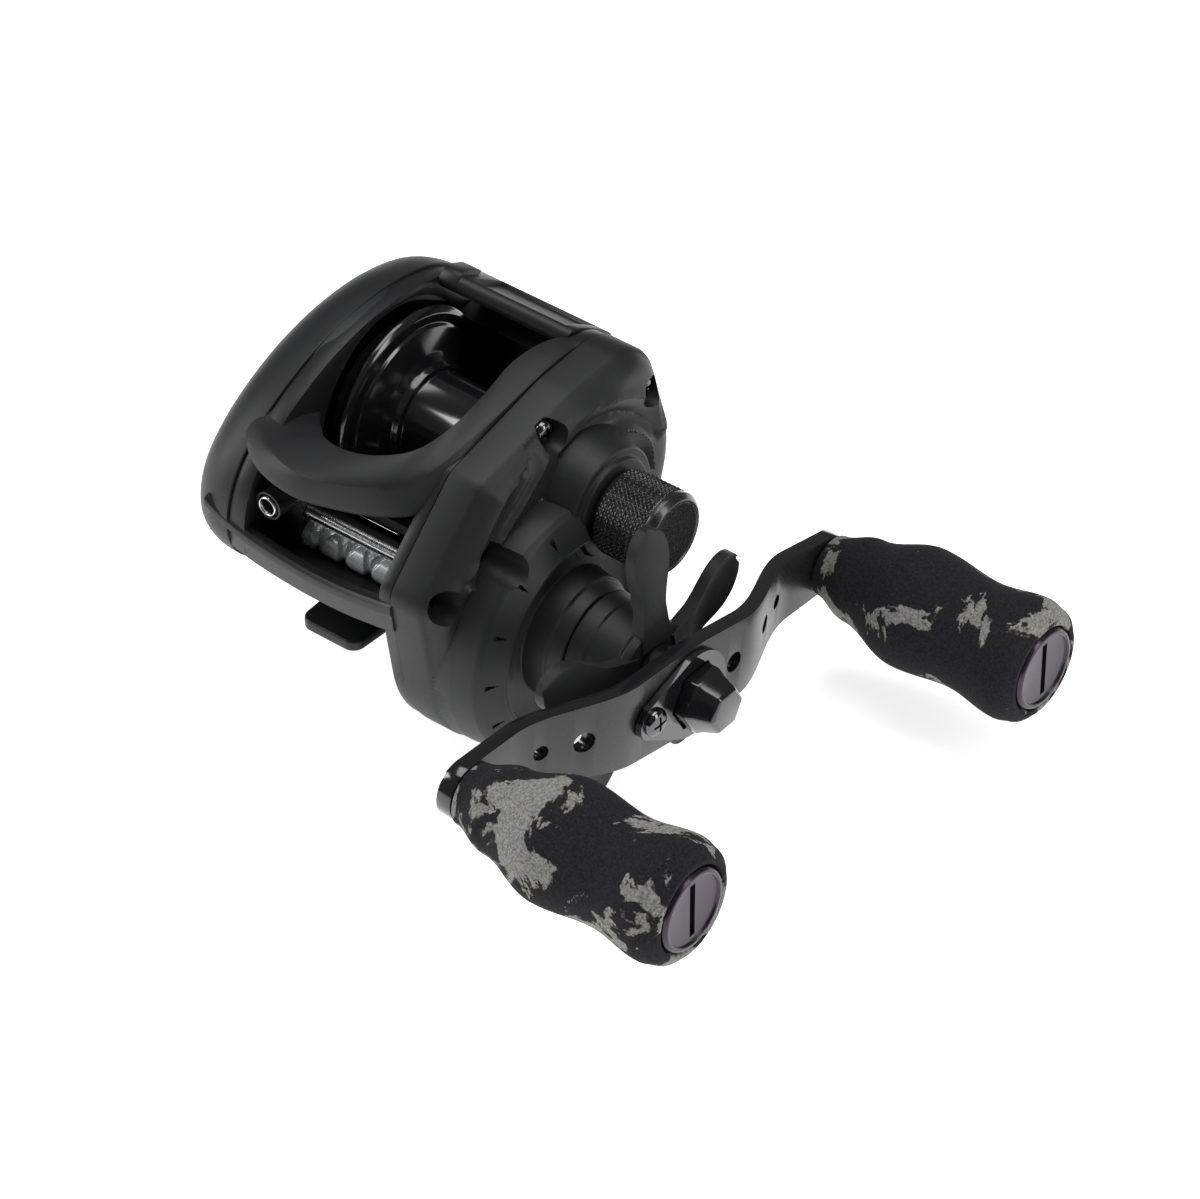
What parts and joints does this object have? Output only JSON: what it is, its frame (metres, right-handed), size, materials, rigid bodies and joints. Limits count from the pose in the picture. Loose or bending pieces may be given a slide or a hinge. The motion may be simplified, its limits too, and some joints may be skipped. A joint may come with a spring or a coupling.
{
  "type": "baitcasting fishing reel",
  "caption": "Low-profile left-hand baitcasting reel with star drag, double-knob crank, levelwind, thumb bar clutch and a flat foot that seats in a rod's reel seat.",
  "frame": {"origin": "centre of the foot's flat underside, where the rod's reel seat touches it", "axes": "+X along the spool axis towards the handle, +Y towards the back of the reel, away from the line guide, +Z away from the rod"},
  "size_m": [0.1185, 0.1098, 0.0591],
  "materials": {
    "body_black": "fine soft-touch matte black",
    "black_metal": "gloss black anodised, turned",
    "satin_metal": "satin dark grey",
    "steel": "bright stainless steel",
    "chrome": "dark chrome",
    "brass": "machined brass",
    "carbon": "woven carbon drag washer",
    "foam": "dense grip foam, black with grey patches",
    "knob_cap": "gunmetal anodised",
    "worm_white": "pale, hard, low-friction"
  },
  "bodies": {
    "reel_body": {"frame": "body_black", "hood": "body_black", "palm_side_plate": "body_black", "handle_side_plate": "body_black", "reel_foot": "body_black", "foot_screw_front": "chrome", "foot_screw_rear": "chrome", "side_plate_screw_rear": "chrome", "side_plate_screw_top": "chrome", "side_plate_screw_front": "chrome", "side_plate_screw_nose": "chrome", "spool_bearing_palm": "steel", "spool_bearing_handle": "steel", "drive_shaft_bearing": "steel", "one_way_bearing": "steel", "guide_rod": "chrome", "worm_bush_palm": "brass", "worm_bush_handle": "brass", "yoke_pin_1": "steel", "yoke_pin_2": "steel"},
    "handle": {"drive_shaft": "steel", "clutch_sleeve": "steel", "levelwind_drive_gear": "body_black", "main_gear": "brass", "drag_washer_inner": "carbon", "drag_plate_metal": "steel", "drag_washer_outer": "carbon", "drag_pressure_plate": "steel", "drag_spring_washer": "steel", "handle_spacer": "black_metal", "handle_arm": "black_metal", "handle_nut": "black_metal", "nut_retainer": "black_metal", "retainer_screw": "steel", "knob_shaft_1": "steel", "knob_shaft_2": "steel"},
    "star": {"star_drag": "body_black"},
    "knob_front": {"knob_grip_1": "foam", "knob_cap_1": "knob_cap", "knob_bush_1": "steel"},
    "knob_rear": {"knob_grip_2": "foam", "knob_cap_2": "knob_cap", "knob_bush_2": "steel"},
    "spool_unit": {"spool": "black_metal", "spool_shaft": "steel", "brake_rotor": "satin_metal"},
    "thumb": {"thumb_bar": "body_black"},
    "yoke": {"pinion_yoke": "satin_metal", "yoke_spring_1": "steel", "yoke_spring_2": "steel"},
    "pinion": {"pinion_gear": "brass"},
    "cam": {"clutch_cam": "satin_metal"},
    "worm": {"worm_shaft": "worm_white", "worm_gear": "body_black"},
    "carriage": {"line_guide": "body_black", "guide_ring": "chrome"},
    "pawl_pin": {"pawl": "brass"},
    "cast_control": {"cast_control_cap": "black_metal"},
    "dial": {"brake_dial": "black_metal"},
    "magnets": {"brake_magnet_ring": "steel"}
  },
  "joints": [
    {"name": "handle_spin", "type": "hinge", "parent": "reel_body", "child": "handle", "pos_m": [0.053, -0.00989, 0.0042], "axis": [1, 0, 0], "continuous": true},
    {"name": "star_turn", "type": "hinge", "parent": "handle", "child": "star", "pos_m": [0.042, -0.00989, 0.0042], "axis": [1, 0, 0], "range_deg": [-270, 270]},
    {"name": "knob_1_spin", "type": "hinge", "parent": "handle", "child": "knob_front", "pos_m": [0.068, -0.05446, 0.01047], "axis": [1, 0, 0], "continuous": true},
    {"name": "knob_2_spin", "type": "hinge", "parent": "handle", "child": "knob_rear", "pos_m": [0.068, 0.03467, -0.00206], "axis": [1, 0, 0], "continuous": true},
    {"name": "spool_spin", "type": "hinge", "parent": "reel_body", "child": "spool_unit", "pos_m": [0, 0.0017, 0.0212], "axis": [1, 0, 0], "continuous": true},
    {"name": "thumb_press", "type": "slide", "parent": "reel_body", "child": "thumb", "axis": [0, 0.5, -0.866], "range_m": [0, 0.004]},
    {"name": "yoke_slide", "type": "slide", "parent": "reel_body", "child": "yoke", "axis": [1, 0, 0], "range_m": [0, 0.0014]},
    {"name": "pinion_spin", "type": "hinge", "parent": "yoke", "child": "pinion", "pos_m": [0.02, 0.0017, 0.0212], "axis": [1, 0, 0], "continuous": true},
    {"name": "clutch_cam_turn", "type": "hinge", "parent": "reel_body", "child": "cam", "pos_m": [0.017, 0.0017, 0.0212], "axis": [-1, 0, 0], "range_deg": [0, 26]},
    {"name": "worm_spin", "type": "hinge", "parent": "reel_body", "child": "worm", "pos_m": [0, -0.02459, 0.01321], "axis": [1, 0, 0], "continuous": true},
    {"name": "line_guide_slide", "type": "slide", "parent": "reel_body", "child": "carriage", "axis": [1, 0, 0], "range_m": [0, 0.0215]},
    {"name": "pawl_swivel", "type": "hinge", "parent": "carriage", "child": "pawl_pin", "pos_m": [-0.01075, -0.02459, 0.01021], "axis": [0, 0, 1], "range_deg": [-25, 25]},
    {"name": "cast_control_turn", "type": "hinge", "parent": "reel_body", "child": "cast_control", "pos_m": [0.037, 0.0017, 0.0212], "axis": [1, 0, 0], "range_deg": [-180, 180]},
    {"name": "brake_dial_turn", "type": "hinge", "parent": "reel_body", "child": "dial", "pos_m": [-0.026, 0.0017, 0.0212], "axis": [1, 0, 0], "range_deg": [0, 270]},
    {"name": "brake_magnet_slide", "type": "slide", "parent": "reel_body", "child": "magnets", "axis": [1, 0, 0], "range_m": [0, 0.0012]}
  ],
  "couplings": [
    {"joint": "spool_spin", "follows": "handle_spin", "ratio": -7.1},
    {"joint": "pinion_spin", "follows": "handle_spin", "ratio": -7.1},
    {"joint": "worm_spin", "follows": "handle_spin", "ratio": -2.25},
    {"joint": "yoke_slide", "follows": "thumb_press", "ratio": 0.35},
    {"joint": "clutch_cam_turn", "follows": "thumb_press", "rad_per_m": 113.44},
    {"joint": "brake_magnet_slide", "follows": "brake_dial_turn", "m_per_rad": 0.00025462}
  ]
}
